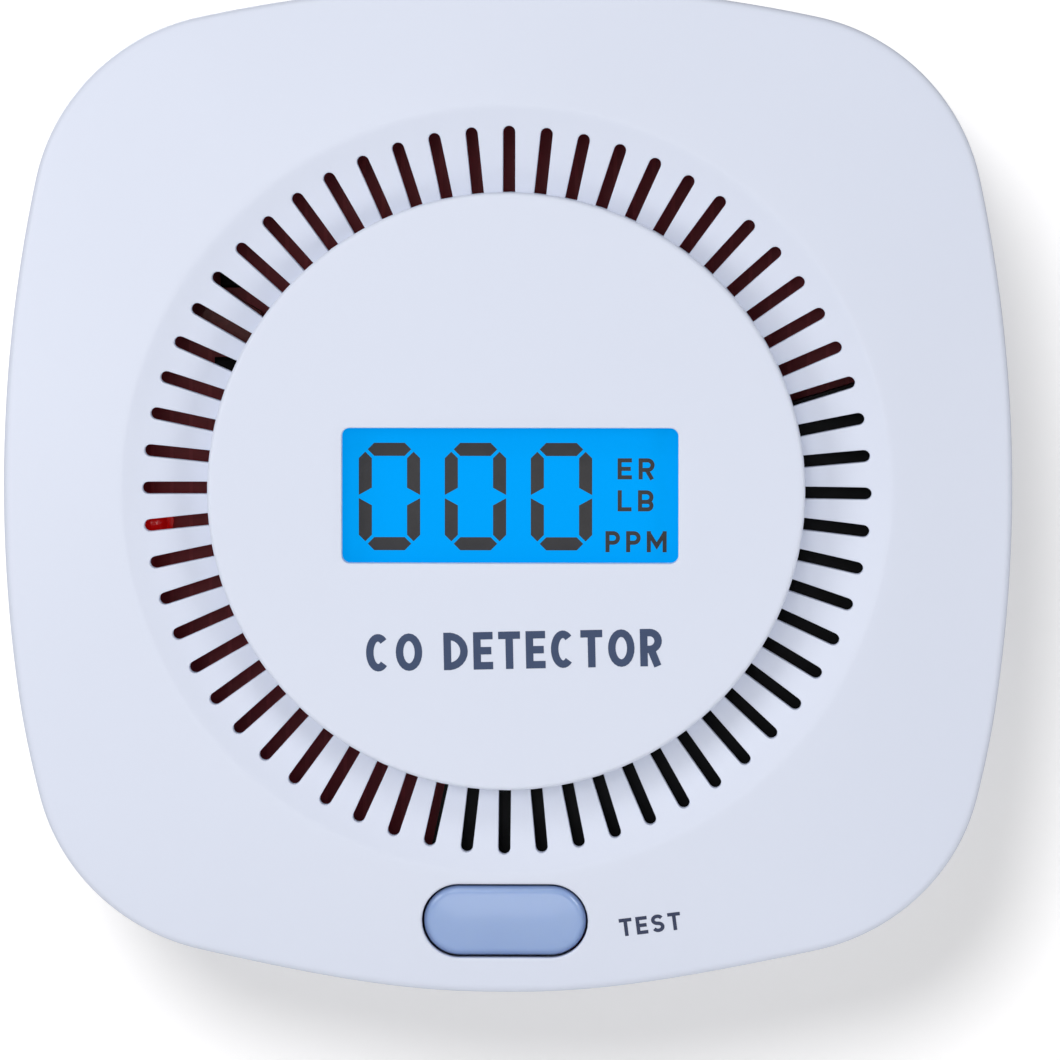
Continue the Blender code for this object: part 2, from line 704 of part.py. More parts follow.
def make_components():
    """The electrochemical sensor, the alarm lamp and the larger components on the board."""
    can = [
        (0, 31.2 * mm),
        (SENSOR_RADIUS - 0.5 * mm, 31.2 * mm),
        (SENSOR_RADIUS, 30.7 * mm),
        (SENSOR_RADIUS, BOARD_SEAT),
        (0, BOARD_SEAT),
    ]
    turned("co_sensor_can", SENSOR_CENTRE, can, 28, STEEL)
    drum("co_sensor_filter", SENSOR_CENTRE, 4.6 * mm, 31.5 * mm, 32.9 * mm, 24, BLACK)
    lamp = [(0, 30.6 * mm)]
    lamp += [(1.5 * mm * math.sin(a), 29.1 * mm + 1.5 * mm * math.cos(a)) for a in (0.5, 1.05)]
    lamp += [(1.5 * mm, 29.1 * mm), (1.5 * mm, 26.2 * mm), (1.9 * mm, 26.2 * mm)]
    lamp += [(1.9 * mm, BOARD_SEAT), (0, BOARD_SEAT)]
    turned("alarm_led", LED_CENTRE, lamp, 16, LED_RED)
    chip = block("mcu_chip", CHIP_CENTRE, CHIP_SIZE, BOARD_SEAT, BOARD_SEAT + 1.4 * mm, BLACK)
    bevel(chip, 0.2 * mm, 1)
    drum("capacitor", CAPACITOR_CENTRE, 2.5 * mm, BOARD_SEAT, 30.6 * mm, 20, STEEL)
    coil = rounded_box((0, 0), (2.6 * mm, 2.6 * mm), 0.5 * mm, 2)
    inductor = slab("inductor", [coil], BOARD_SEAT, 28.2 * mm, BLACK)
    inductor.rotation_euler = (0, 0, math.radians(60))
    inductor.location.x, inductor.location.y = polar(32.3 * mm, 149.5)


# Test button --------------------------------------------------------------------------------

def make_test_button():
    """A cap trimmed to the slope of the face, on a flange that keeps it in the cover."""
    top = CREST + 2 * mm
    cap = slab("test_button", [stadium(-BUTTON_PLAY)], FLANGE_SPAN[0] + 0.4 * mm, top, BUTTON_BLUE)
    flange = slab("button_flange", [stadium(BUTTON_FLANGE)], *FLANGE_SPAN, cutter=True)
    combine(cap, flange, "UNION")
    depth = 6 * mm
    trim = block("button_trim", (0, 0), (30 * mm, 30 * mm), 0, 2 * depth, cutter=True)
    trim.rotation_euler = (BUTTON_TILT, 0, 0)
    trim.location.x = BUTTON_CENTRE[0]
    trim.location.y = BUTTON_CENTRE[1] - depth * math.sin(BUTTON_TILT)
    trim.location.z = BUTTON_TOP + depth * math.cos(BUTTON_TILT)
    combine(cap, trim)
    return cap


def make_switch():
    half = (SWITCH_HALF, SWITCH_HALF)
    outline = rounded_box(BUTTON_CENTRE, half, 0.4 * mm, 2)
    body = slab("switch_body", [outline], BOARD_SEAT, SWITCH_TOP, BLACK)
    bore = PLUNGER_RADIUS + 0.2 * mm
    well = drum("switch_well", BUTTON_CENTRE, bore, 25.3 * mm, 28 * mm, 16, cutter=True)
    combine(body, well)
    return drum("switch_plunger", BUTTON_CENTRE, PLUNGER_RADIUS, *PLUNGER_SPAN, 16, BLACK)


# Fasteners and label ------------------------------------------------------------------------

def make_case_screw(name, place):
    """A pan-head screw, driven from the back, with a cross recess in its head."""
    head, shank = 2.3 * mm, 0.95 * mm
    seat, back, tip = SINK_FLOOR - GAP, SINK_FLOOR - 2.0 * mm, 20.0 * mm
    profile = [(0, tip), (shank * 0.4, tip), (shank, tip - 1.5 * mm), (shank, seat), (head, seat)]
    profile += [(head, back + 0.5 * mm), (head * 0.75, back), (0, back)]
    screw = turned(name, place, profile, 14, STEEL)
    for i, size in enumerate(((2.6 * mm, 0.6 * mm), (0.6 * mm, 2.6 * mm))):
        depth = (0.9 - 0.1 * i) * mm
        arm = block(f"{name}_cross_{i}", place, size, back - mm, back + depth, cutter=True)
        combine(screw, arm)
    return screw


def make_board_screw(name, place):
    head, shank = 1.9 * mm, 0.7 * mm
    seat = BOARD_SPAN[0] - GAP
    back, tip = seat - 0.9 * mm, 29.0 * mm
    profile = [(0, tip), (shank, tip - 0.6 * mm), (shank, seat), (head, seat)]
    profile += [(head, back + 0.3 * mm), (head - 0.3 * mm, back), (0, back)]
    return turned(name, place, profile, 12, STEEL)


def make_fasteners():
    for i, place in enumerate(CASE_SCREWS):
        make_case_screw(f"case_screw_{i + 1}", place)
    for i, place in enumerate(BOARD_SCREWS):
        make_board_screw(f"pcb_screw_{i + 1}", place)


def make_label():
    outline = rounded_box(LABEL_CENTRE, LABEL_HALF, 1.0 * mm, 3)
    return slab("rating_label", [outline], *LABEL_SPAN, LABEL_SILVER)


make_front_cover()
make_rear_cover()
make_wall_plate()
make_battery_door()
make_batteries()
make_board()
make_sound_chamber()
make_display()
make_components()
make_test_button()
make_switch()
make_fasteners()
make_label()
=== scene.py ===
"""Looks of the carbon monoxide detector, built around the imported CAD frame.

Shapes are worked out in face coordinates: x to the right, y up the wall and a height out of the
wall. place() turns them into world axes, where the face looks along -Y. Everything is in metres.
"""
import json
import math

import bmesh
import bpy
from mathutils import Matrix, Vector


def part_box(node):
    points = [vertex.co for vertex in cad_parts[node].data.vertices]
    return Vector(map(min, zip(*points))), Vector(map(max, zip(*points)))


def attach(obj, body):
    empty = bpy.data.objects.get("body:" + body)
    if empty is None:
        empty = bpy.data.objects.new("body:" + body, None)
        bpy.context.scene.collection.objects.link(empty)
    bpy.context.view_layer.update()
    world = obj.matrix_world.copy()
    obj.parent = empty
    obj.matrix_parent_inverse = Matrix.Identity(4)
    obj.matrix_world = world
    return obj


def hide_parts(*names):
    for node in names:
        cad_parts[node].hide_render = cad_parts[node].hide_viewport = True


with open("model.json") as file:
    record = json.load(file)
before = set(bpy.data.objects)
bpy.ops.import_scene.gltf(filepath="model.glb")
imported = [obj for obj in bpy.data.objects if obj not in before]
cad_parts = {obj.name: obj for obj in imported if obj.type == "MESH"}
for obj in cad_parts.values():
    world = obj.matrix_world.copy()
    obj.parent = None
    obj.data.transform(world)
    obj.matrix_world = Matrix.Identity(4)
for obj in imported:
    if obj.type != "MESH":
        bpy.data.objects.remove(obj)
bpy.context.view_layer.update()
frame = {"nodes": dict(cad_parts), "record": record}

mm = 0.001

# The case: its outline and wall are those of the CAD source. The edge, the lean of the wall
# and the curve of the face are the visible cover's own.
CASE_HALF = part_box("front_cover")[1].x
SIDE_RADIUS = 146.4 * mm
CORNER_CENTRE = 26.4 * mm
SHELL = 1.8 * mm
RIM = -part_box("front_cover")[1].y
FACE = -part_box("front_cover")[0].y
CREST = FACE - 1.8 * mm
SHOULDER = FACE - 4.8 * mm
EDGE_ROUND = 0.8 * mm
DRAFT = 0.02 * mm
TUCK = 0.95 * mm
TUCK_ANGLES = (math.radians(-56), math.radians(-126))
TUCK_SPREAD = math.radians(32)

DISC_RADIUS = 29.5 * mm
DISC_ROUND = 0.45 * mm
DISC_OVERLAP = 0.05 * mm
TROUGH_FOOT = FACE - 3.6 * mm
CREST_RADIUS = 38.0 * mm
CREST_BLEND = 0.1 * mm
TROUGH_CURVE = 1.8
FACE_CURVE = 1.2

SLOT_COUNT = 60
SLOT_WIDTH = 1.22 * mm
SLOT_OUTER = 36.05 * mm
SLOT_ROUND = 0.1 * mm
SLOT_PHASE = math.radians(-0.4)
SECTOR_OUTER = 37.3 * mm
SECTOR_STEPS = 8
RING_STEPS = SLOT_COUNT * SECTOR_STEPS

WINDOW_CENTRE = (0.4 * mm, -0.37 * mm)
WINDOW_HALF = (16.6 * mm, 6.675 * mm)
WINDOW_CORNER = 0.8 * mm
WINDOW_ROUND = 0.15 * mm

BUTTON_CENTRE = (-0.2 * mm, -42.7 * mm)
BUTTON_HALF = (8.1 * mm, 3.6 * mm)
BUTTON_GAP = 0.15 * mm
BUTTON_PLAY = 0.06 * mm
BUTTON_ROUND = 0.75 * mm
BUTTON_CROWN = 0.35 * mm
BUTTON_TILT = math.tan(math.radians(17.7))
BUTTON_TOP = FACE - 3.1 * mm
BUTTON_HOLE_ROUND = 0.22 * mm
# The ring step below the middle, and how many on each side the button's patch takes up.
BUTTON_STEP = RING_STEPS * 3 // 4
BUTTON_SPREAD = 24

INK = 0.02 * mm
INK_STEP = 0.006 * mm
DIGIT_INK = 0.03 * mm

# Faces that meet at more than this many degrees keep a crisp edge.
CRISP_ANGLE = 38


def place(x, y, height):
    """World coordinates of a point given in face coordinates."""
    return (x, -height, y)


# Shape functions ----------------------------------------------------------------------------

def case_radius(angle, inset=0.0):
    """Distance from the axis to the case outline, drawn in by inset, along one direction."""
    folded = abs((angle + math.pi / 4) % (math.pi / 2) - math.pi / 4)
    setback = SIDE_RADIUS - CASE_HALF
    reach = math.hypot(CORNER_CENTRE + setback, CORNER_CENTRE)
    side = SIDE_RADIUS - inset
    corner = SIDE_RADIUS - reach - inset
    tangent_x = side * (CORNER_CENTRE + setback) / reach - setback
    tangent_y = side * CORNER_CENTRE / reach
    if folded <= math.atan2(tangent_y, tangent_x):
        return math.sqrt(side**2 - (setback * math.sin(folded)) ** 2) - setback * math.cos(folded)
    across = CORNER_CENTRE * (math.sin(folded) - math.cos(folded))
    along = CORNER_CENTRE * (math.sin(folded) + math.cos(folded))
    return along + math.sqrt(corner**2 - across**2)


def draft(angle):
    """How far the wall leans in at the front: hardly at all, but more at the lower corners."""
    lean = DRAFT
    for corner in TUCK_ANGLES:
        off = abs((angle - corner + math.pi) % (2 * math.pi) - math.pi)
        if off < TUCK_SPREAD:
            lean += TUCK * math.cos(off / TUCK_SPREAD * math.pi / 2) ** 2
    return lean


def shoulder_radius(angle):
    """Distance from the axis to the edge where the pillow face starts to round over."""
    return case_radius(angle, draft(angle) + EDGE_ROUND)


def face_fall(radius, outer):
    """How far the pillow face has fallen at a radius, between the crest and the shoulder."""
    part = max(0.0, (radius - CREST_RADIUS) / (outer - CREST_RADIUS))
    return (CREST - SHOULDER) * part**FACE_CURVE


def face_height(x, y):
    """Height of the cover outside the disc: the trough's cone, blended into the pillow face."""
    radius = math.hypot(x, y)
    outer = shoulder_radius(math.atan2(y, x))
    across = max(0.0, (radius - DISC_RADIUS) / (CREST_RADIUS - DISC_RADIUS))
    trough = TROUGH_FOOT + (CREST - TROUGH_FOOT) * across**TROUGH_CURVE
    pillow = CREST - face_fall(radius, outer)
    overlap = max(CREST_BLEND - abs(trough - pillow), 0.0) / CREST_BLEND
    return min(trough, pillow) - overlap**2 * CREST_BLEND / 4


def mix(a, b, part):
    """The value a share of the way from a to b."""
    return a + (b - a) * part


def mix_points(low, high, part):
    """The loop a share of the way from one loop to another."""
    return [(mix(a[0], b[0], part), mix(a[1], b[1], part)) for a, b in zip(low, high)]


def shifted(points, normals, distance):
    """The loop moved outwards along its normals."""
    return [(p[0] + n[0] * distance, p[1] + n[1] * distance) for p, n in zip(points, normals)]


class Skin:
    """Collects loops of points and the faces between them, then welds them into one mesh."""

    def __init__(self):
        self.points = []
        self.faces = []

    def loop(self, points, height):
        """Adds a loop of face points; height is a number, a list or a function of x and y."""
        start = len(self.points)
        for i, (x, y) in enumerate(points):
            if callable(height):
                z = height(x, y)
            elif isinstance(height, list):
                z = height[i]
            else:
                z = height
            self.points.append(place(x, y, z))
        return list(range(start, len(self.points)))

    def bridge(self, loops, closed=True, skip=()):
        """Quads between each loop and the next, leaving out the steps in skip."""
        for one, two in zip(loops, loops[1:]):
            for i in range(0 if closed else 1, len(one)):
                if i not in skip:
                    self.faces.append((one[i - 1], two[i - 1], two[i], one[i]))

    def cap(self, loop):
        """One face over a whole loop."""
        self.faces.append(tuple(loop))

    def build(self, name, sharp):
        """The welded object, smooth except where faces meet at more than sharp degrees."""
        mesh = bpy.data.meshes.new(name)
        shape = bmesh.new()
        verts = [shape.verts.new(point) for point in self.points]
        for face in self.faces:
            shape.faces.new([verts[i] for i in face])
        bmesh.ops.remove_doubles(shape, verts=shape.verts, dist=2e-6)
        bmesh.ops.dissolve_degenerate(shape, edges=shape.edges, dist=1e-7)
        bmesh.ops.recalc_face_normals(shape, faces=shape.faces)
        shape.to_mesh(mesh)
        shape.free()
        return link(name, mesh, sharp)


def link(name, data, sharp=None):
    """A new object in the scene, shaded smooth if it has an angle for its sharp edges."""
    obj = bpy.data.objects.new(name, data)
    bpy.context.scene.collection.objects.link(obj)
    if sharp is not None:
        data.shade_smooth()
        data.set_sharp_from_angle(angle=math.radians(sharp))
    return obj


# Front cover --------------------------------------------------------------------------------

def ring_angles():
    """The directions of all ring points, with a slot at the first."""
    return [SLOT_PHASE + 2 * math.pi * i / RING_STEPS for i in range(RING_STEPS)]


def outline_ring(inset, leaning=0.0):
    """The case outline drawn in by inset and by a share of the wall's lean."""
    points = []
    for angle in ring_angles():
        radius = case_radius(angle, inset + leaning * draft(angle))
        points.append((radius * math.cos(angle), radius * math.sin(angle)))
    return points


def under(x, y):
    """Height of the cover's inner side, a wall's thickness below its face."""
    return face_height(x, y) - SHELL


def add_slot_sectors(skin):
    """The trough as sixty alike sectors, each one strip of quads folded round its slot."""
    inner = DISC_RADIUS - DISC_OVERLAP
    half = SLOT_WIDTH / 2
    pitch = 2 * math.pi / SLOT_COUNT
    sides, arc = 9, SECTOR_STEPS
    border, slot, normals = [], [], []
    for i in range(sides):
        radius = mix(inner, SECTOR_OUTER, i / sides)
        border.append((radius * math.cos(-pitch / 2), radius * math.sin(-pitch / 2)))
        slot.append((mix(inner, SLOT_OUTER - half, i / sides), -half))
        normals.append((0, -1))
    for i in range(arc + 1):
        turn = pitch * (i / arc - 0.5)
        border.append((SECTOR_OUTER * math.cos(turn), SECTOR_OUTER * math.sin(turn)))
        turn = math.pi * (i / arc - 0.5)
        slot.append((SLOT_OUTER - half + half * math.cos(turn), half * math.sin(turn)))
        normals.append((math.cos(turn), math.sin(turn)))
    for points in (border, slot, normals):
        points.extend([(x, -y) for x, y in reversed(points[:sides])])
    lip = shifted(slot, normals, SLOT_ROUND)
    flats = [mix_points(border, lip, part) for part in (0, 0.3, 0.6, 0.85, 1)]
    for step in range(SLOT_COUNT):
        turn = SLOT_PHASE + step * pitch
        top = [skin.loop(spin(flat, turn), face_height) for flat in flats]
        for tilt in (math.pi / 4, math.pi / 2):
            edge = spin(shifted(slot, normals, SLOT_ROUND * (1 - math.sin(tilt))), turn)
            drop = SLOT_ROUND * (1 - math.cos(tilt))
            top.append(skin.loop(edge, [face_height(*p) - drop for p in edge]))
        bottom = [skin.loop(spin(flat, turn), under) for flat in flats[:-1]]
        bottom.append(skin.loop(spin(slot, turn), under))
        strip = top + bottom[::-1]
        skin.bridge(strip, closed=False)
        skin.cap([loop[0] for loop in strip])
        skin.cap([loop[-1] for loop in reversed(strip)])


def spin(points, turn):
    """The points turned about the origin."""
    cos, sin = math.cos(turn), math.sin(turn)
    return [(x * cos - y * sin, x * sin + y * cos) for x, y in points]


def stadium_point(direction, half):
    """Where a ray from the middle leaves a stadium of the given half length and half height."""
    ux, uy = direction
    straight = half[0] - half[1]
    if abs(uy) * straight > abs(ux) * half[1]:
        return (ux * half[1] / abs(uy), uy * half[1] / abs(uy))
    along = straight * abs(ux)
    distance = along + math.sqrt(along**2 - straight**2 + half[1] ** 2)
    return (ux * distance, uy * distance)


def stadium_normal(point, straight):
    """The outward normal at a point of a stadium with the given straight half length."""
    offset = (point[0] - max(-straight, min(straight, point[0])), point[1])
    length = math.hypot(*offset)
    return (offset[0] / length, offset[1] / length)


def add_button_patch(skin, rings):
    """Closes the face around the button's hole, above and below, with a rounded edge."""
    first, last = BUTTON_STEP - BUTTON_SPREAD, BUTTON_STEP + BUTTON_SPREAD
    border = [rings[0][i] for i in range(first, last + 1)]
    border += [ring[last] for ring in rings[1:-1]]
    border += [rings[-1][i] for i in range(last, first - 1, -1)]
    border += [ring[first] for ring in rings[-2:0:-1]]
    half = (BUTTON_HALF[0] + BUTTON_GAP, BUTTON_HALF[1] + BUTTON_GAP)
    hole, normals = [], []
    for x, y in border:
        offset = (x - BUTTON_CENTRE[0], y - BUTTON_CENTRE[1])
        length = math.hypot(*offset)
        point = stadium_point((offset[0] / length, offset[1] / length), half)
        hole.append((BUTTON_CENTRE[0] + point[0], BUTTON_CENTRE[1] + point[1]))
        normals.append(stadium_normal(point, half[0] - half[1]))
    lip = shifted(hole, normals, BUTTON_HOLE_ROUND)
    flats = [mix_points(border, lip, part) for part in (0, 0.25, 0.5, 0.75, 0.9, 1)]
    strip = [skin.loop(flat, face_height) for flat in flats]
    for i in range(1, 5):
        tilt = math.pi / 2 * i / 4
        edge = shifted(hole, normals, BUTTON_HOLE_ROUND * (1 - math.sin(tilt)))
        drop = BUTTON_HOLE_ROUND * (1 - math.cos(tilt))
        strip.append(skin.loop(edge, [face_height(*p) - drop for p in edge]))
    strip.append(skin.loop(hole, under))
    strip += [skin.loop(flat, under) for flat in flats[-2::-1]]
    skin.bridge(strip)


def shoulder_ring(part):
    """A ring of the rounded edge: a curve tangent to the face above and the side below."""
    points, heights = [], []
    for angle in ring_angles():
        outer = shoulder_radius(angle)
        side = case_radius(angle, draft(angle))
        slope = FACE_CURVE * (CREST - SHOULDER) / (outer - CREST_RADIUS)
        bend = SHOULDER - slope * (side - outer)
        low = SHOULDER - EDGE_ROUND
        radius = mix(mix(outer, side, part), side, part)
        heights.append(mix(mix(SHOULDER, bend, part), mix(bend, low, part), part))
        points.append((radius * math.cos(angle), radius * math.sin(angle)))
    return points, heights


def make_cover_shell(skin):
    """The trough, the pillow face, the side wall and its inner side, as one closed shell."""
    add_slot_sectors(skin)
    steps = (0, 0.03, 0.05, 0.07, 0.1, 0.15, 0.22, 0.3, 0.38, 0.47, 0.57, 0.68, 0.79, 0.9, 1)
    rings = []
    for part in steps:
        ring = []
        for angle in ring_angles():
            radius = mix(SECTOR_OUTER, shoulder_radius(angle), part)
            ring.append((radius * math.cos(angle), radius * math.sin(angle)))
        rings.append(ring)
    hole = range(BUTTON_STEP - BUTTON_SPREAD + 1, BUTTON_STEP + BUTTON_SPREAD + 1)
    top = [skin.loop(ring, face_height) for ring in rings]
    bottom = [skin.loop(ring, under) for ring in rings]
    skin.bridge(top, skip=hole)
    skin.bridge(bottom[::-1], skip=hole)
    add_button_patch(skin, rings)

    side = [top[-1]]
    for i in range(1, 9):
        side.append(skin.loop(*shoulder_ring(i / 8)))
    low = SHOULDER - EDGE_ROUND
    for part in (0.25, 0.5, 0.75, 0.97):
        side.append(skin.loop(outline_ring(0, 1 - part), mix(low, RIM, part)))
    # Round the rim, then back up inside the wall.
    for inset, rise in ((0.03, 0.18), (0.12, 0.05), (0.28, 0.0)):
        side.append(skin.loop(outline_ring(inset * mm), RIM + rise * mm))
    side.append(skin.loop(outline_ring(SHELL), RIM))
    side.append(skin.loop(outline_ring(SHELL, 0.8), low - mm))
    side.append(skin.loop(outline_ring(SHELL + 0.15 * mm, 1), low - 0.3 * mm))
    side.append(bottom[-1])
    skin.bridge(side)


def rounded_window():
    """The window's outline and outward normals, with points spread along its sides."""
    points, normals = [], []
    steps, long_steps, short_steps = 8, 60, 24
    inner = (WINDOW_HALF[0] - WINDOW_CORNER, WINDOW_HALF[1] - WINDOW_CORNER)
    corners = ((1, 1), (-1, 1), (-1, -1), (1, -1))
    for turn, (sx, sy) in enumerate(corners):
        for i in range(steps + 1):
            angle = math.pi / 2 * (turn + i / steps)
            normal = (math.cos(angle), math.sin(angle))
            x = sx * inner[0] + WINDOW_CORNER * normal[0]
            y = sy * inner[1] + WINDOW_CORNER * normal[1]
            points.append((WINDOW_CENTRE[0] + x, WINDOW_CENTRE[1] + y))
            normals.append(normal)
        after = corners[(turn + 1) % 4]
        long_side = after[0] != sx
        count = long_steps if long_side else short_steps
        last, normal = points[-1], normals[-1]
        length = 2 * (inner[0] if long_side else inner[1])
        for i in range(1, count):
            along = length * i / count
            points.append((last[0] - normal[1] * along, last[1] + normal[0] * along))
            normals.append(normal)
    return points, normals


def out_to_circle(points, radius):
    """The points moved straight out from the window's middle to a circle round the axis."""
    moved = []
    for x, y in points:
        ux, uy = x - WINDOW_CENTRE[0], y - WINDOW_CENTRE[1]
        length = math.hypot(ux, uy)
        ux, uy = ux / length, uy / length
        along = WINDOW_CENTRE[0] * ux + WINDOW_CENTRE[1] * uy
        reach = math.sqrt(along**2 - math.hypot(*WINDOW_CENTRE) ** 2 + radius**2) - along
        moved.append((WINDOW_CENTRE[0] + ux * reach, WINDOW_CENTRE[1] + uy * reach))
    return moved


def make_cover_disc(skin):
    """The raised disc with its skirt and the display window's rounded edge."""
    window, normals = rounded_window()
    rim = out_to_circle(window, DISC_RADIUS)
    lip = shifted(window, normals, WINDOW_ROUND)
    crown = out_to_circle(window, DISC_RADIUS - DISC_ROUND)
    bottom = FACE - SHELL
    hem = TROUGH_FOOT - SHELL - 0.2 * mm
    loops = [skin.loop(window, bottom)]
    for i in range(4, 0, -1):
        tilt = math.pi / 2 * i / 4
        edge = shifted(window, normals, WINDOW_ROUND * (1 - math.sin(tilt)))
        loops.append(skin.loop(edge, FACE - WINDOW_ROUND * (1 - math.cos(tilt))))
    for part in (0, 0.1, 0.4, 0.8, 0.97, 1):
        loops.append(skin.loop(mix_points(lip, crown, part), FACE))
    for i in range(1, 7):
        tilt = math.pi / 2 * i / 6
        radius = DISC_RADIUS - DISC_ROUND * (1 - math.sin(tilt))
        drop = DISC_ROUND * (1 - math.cos(tilt))
        loops.append(skin.loop(out_to_circle(window, radius), FACE - drop))
    loops.append(skin.loop(rim, hem))
    inside = out_to_circle(window, DISC_RADIUS - SHELL)
    loops.append(skin.loop(inside, hem))
    loops.append(skin.loop(inside, bottom))
    loops.append(loops[0])
    skin.bridge(loops)


def make_front_cover():
    """The whole visible front cover."""
    skin = Skin()
    make_cover_shell(skin)
    make_cover_disc(skin)
    return skin.build("front_cover_skin", CRISP_ANGLE)


# Test button --------------------------------------------------------------------------------

def button_height(x, y):
    """The button's top, sloped with the face and slightly crowned."""
    across = (x - BUTTON_CENTRE[0]) / BUTTON_HALF[0]
    up = (y - BUTTON_CENTRE[1]) / BUTTON_HALF[1]
    crown = BUTTON_CROWN * max(0.0, 1 - across**2) * max(0.0, 1 - up**2)
    return BUTTON_TOP + (y - BUTTON_CENTRE[1]) * BUTTON_TILT - BUTTON_CROWN + crown


def stadium_loop(inset):
    """The button's outline, drawn in by inset."""
    steps = 72
    half = (BUTTON_HALF[0] - inset, BUTTON_HALF[1] - inset)
    straight = BUTTON_HALF[0] - BUTTON_HALF[1]
    points = []
    for i in range(steps):
        angle = 2 * math.pi * (i + 0.5) / steps
        side = straight if math.cos(angle) > 0 else -straight
        x = BUTTON_CENTRE[0] + side + half[1] * math.cos(angle)
        points.append((x, BUTTON_CENTRE[1] + half[1] * math.sin(angle)))
    return points


def make_button():
    """The test button with a rounded edge and a crowned top."""
    skin = Skin()
    base = -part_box("test_button")[1].y
    loops = [skin.loop(stadium_loop(BUTTON_PLAY), base)]
    for i in range(7):
        tilt = math.pi / 2 * i / 6
        edge = stadium_loop(BUTTON_PLAY + BUTTON_ROUND * (1 - math.cos(tilt)))
        drop = BUTTON_ROUND * (1 - math.sin(tilt))
        loops.append(skin.loop(edge, [button_height(*p) - drop for p in edge]))
    for inset in (1.2, 1.7, 2.3, 2.9, 3.4):
        loops.append(skin.loop(stadium_loop(inset * mm), button_height))
    skin.bridge(loops)
    skin.cap(loops[-1])
    skin.cap(loops[0][::-1])
    return skin.build("button_cap", 50)


# Display ------------------------------------------------------------------------------------

DIGIT_SIZE = (6.06 * mm, 10.62 * mm)
DIGIT_PITCH = 8.5 * mm
DIGIT_START = (-14.6 * mm, -5.87 * mm)
SEGMENT = 1.29 * mm


def prism(name, outlines, low, high):
    """Closed flat-topped solids over outlines, from height low to height high."""
    skin = Skin()
    for outline in outlines:
        bottom = skin.loop(outline, low)
        top = skin.loop(outline, high)
        skin.bridge([bottom, top])
        skin.cap(top)
        skin.cap(bottom[::-1])
    return skin.build(name, 30)


def digit_segments(left, bottom):
    """The six lit segments of a zero: two flat hexagons and four mitred uprights."""
    width, height = DIGIT_SIZE
    tip, half = 0.88 * mm, SEGMENT / 2
    shoulder, notch_in, notch_out = 1.52 * mm, 0.87 * mm, 0.16 * mm
    middle = height / 2
    bar = [(tip, half), (tip + half, 0), (width - tip - half, 0)]
    bar += [(width - tip, half), (width - tip - half, SEGMENT), (tip + half, SEGMENT)]
    upright = [(0, shoulder), (half, tip), (SEGMENT, shoulder)]
    upright += [(SEGMENT, middle - notch_in), (0, middle - notch_out)]
    shapes = [bar, [(x, height - y) for x, y in bar]]
    for flip_x in (False, True):
        for flip_y in (False, True):
            shape = [(width - x if flip_x else x, height - y if flip_y else y) for x, y in upright]
            shapes.append(shape)
    return [[(left + x, bottom + y) for x, y in shape] for shape in shapes]


def make_digits(low):
    """The display's three zeros."""
    outlines = []
    for i in range(3):
        outlines += digit_segments(DIGIT_START[0] + i * DIGIT_PITCH, DIGIT_START[1])
    return prism("lcd_digits", outlines, low, low + DIGIT_INK)


def bend(centre, radii, start, end, steps=12):
    """Points along part of an ellipse, angles in degrees."""
    points = []
    for i in range(steps + 1):
        angle = math.radians(start + (end - start) * i / steps)
        x = centre[0] + radii[0] * math.cos(angle)
        points.append((x, centre[1] + radii[1] * math.sin(angle)))
    return points


def bowl(left, right, low, high):
    """The centre line of a letter's bowl: out along its top, round, and back along its foot."""
    reach = (high - low) / 2
    turn = (right - reach, (high + low) / 2)
    return [(left, high)] + bend(turn, (reach, reach), 90, -90) + [(left, low)]


def glyph(letter, width, height, weight):
    """Centre lines of a plain block capital, each with whether it closes on itself."""
    left, right = weight / 2, width - weight / 2
    low, high = weight / 2, height - weight / 2
    middle, centre = height * 0.5, width / 2
    round_ = (centre, middle), (right - centre, high - middle)
    quarter = (high - middle) / 2
    sheared = bend((centre, high - quarter), (right - centre, quarter), 25, 270)
    sheared += bend((centre, low + quarter), (right - centre, quarter), 90, -155)[1:]
    waist = height * 0.45
    fork = [(left, high), (centre, height * 0.3), (right, high)]
    lines = {
        "B": [(bowl(left, right, waist, high), False), (bowl(left, right, low, waist), False),
              ([(left, 0), (left, height)], False)],
        "C": [(bend(*round_, 48, 312, 24), False)],
        "D": [(bowl(left, right, low, high), False), ([(left, 0), (left, height)], False)],
        "E": [([(width, high), (left, high), (left, low), (width, low)], False),
              ([(left, middle), (width * 0.92, middle)], False)],
        "L": [([(left, height), (left, low), (width, low)], False)],
        "M": [([(left, 0), (left, height)], False), ([(right, 0), (right, height)], False),
              (fork, False)],
        "O": [(bend(*round_, 0, 345, 23), True)],
        "P": [(bowl(left, right, waist, high), False), ([(left, 0), (left, height)], False)],
        "R": [(bowl(left, right, waist, high), False), ([(left, 0), (left, height)], False),
              ([(centre, waist), (width - weight * 0.6, 0)], False)],
        "S": [(sheared, False)],
        "T": [([(0, high), (width, high)], False), ([(centre, 0), (centre, height)], False)],
    }
    return lines[letter]


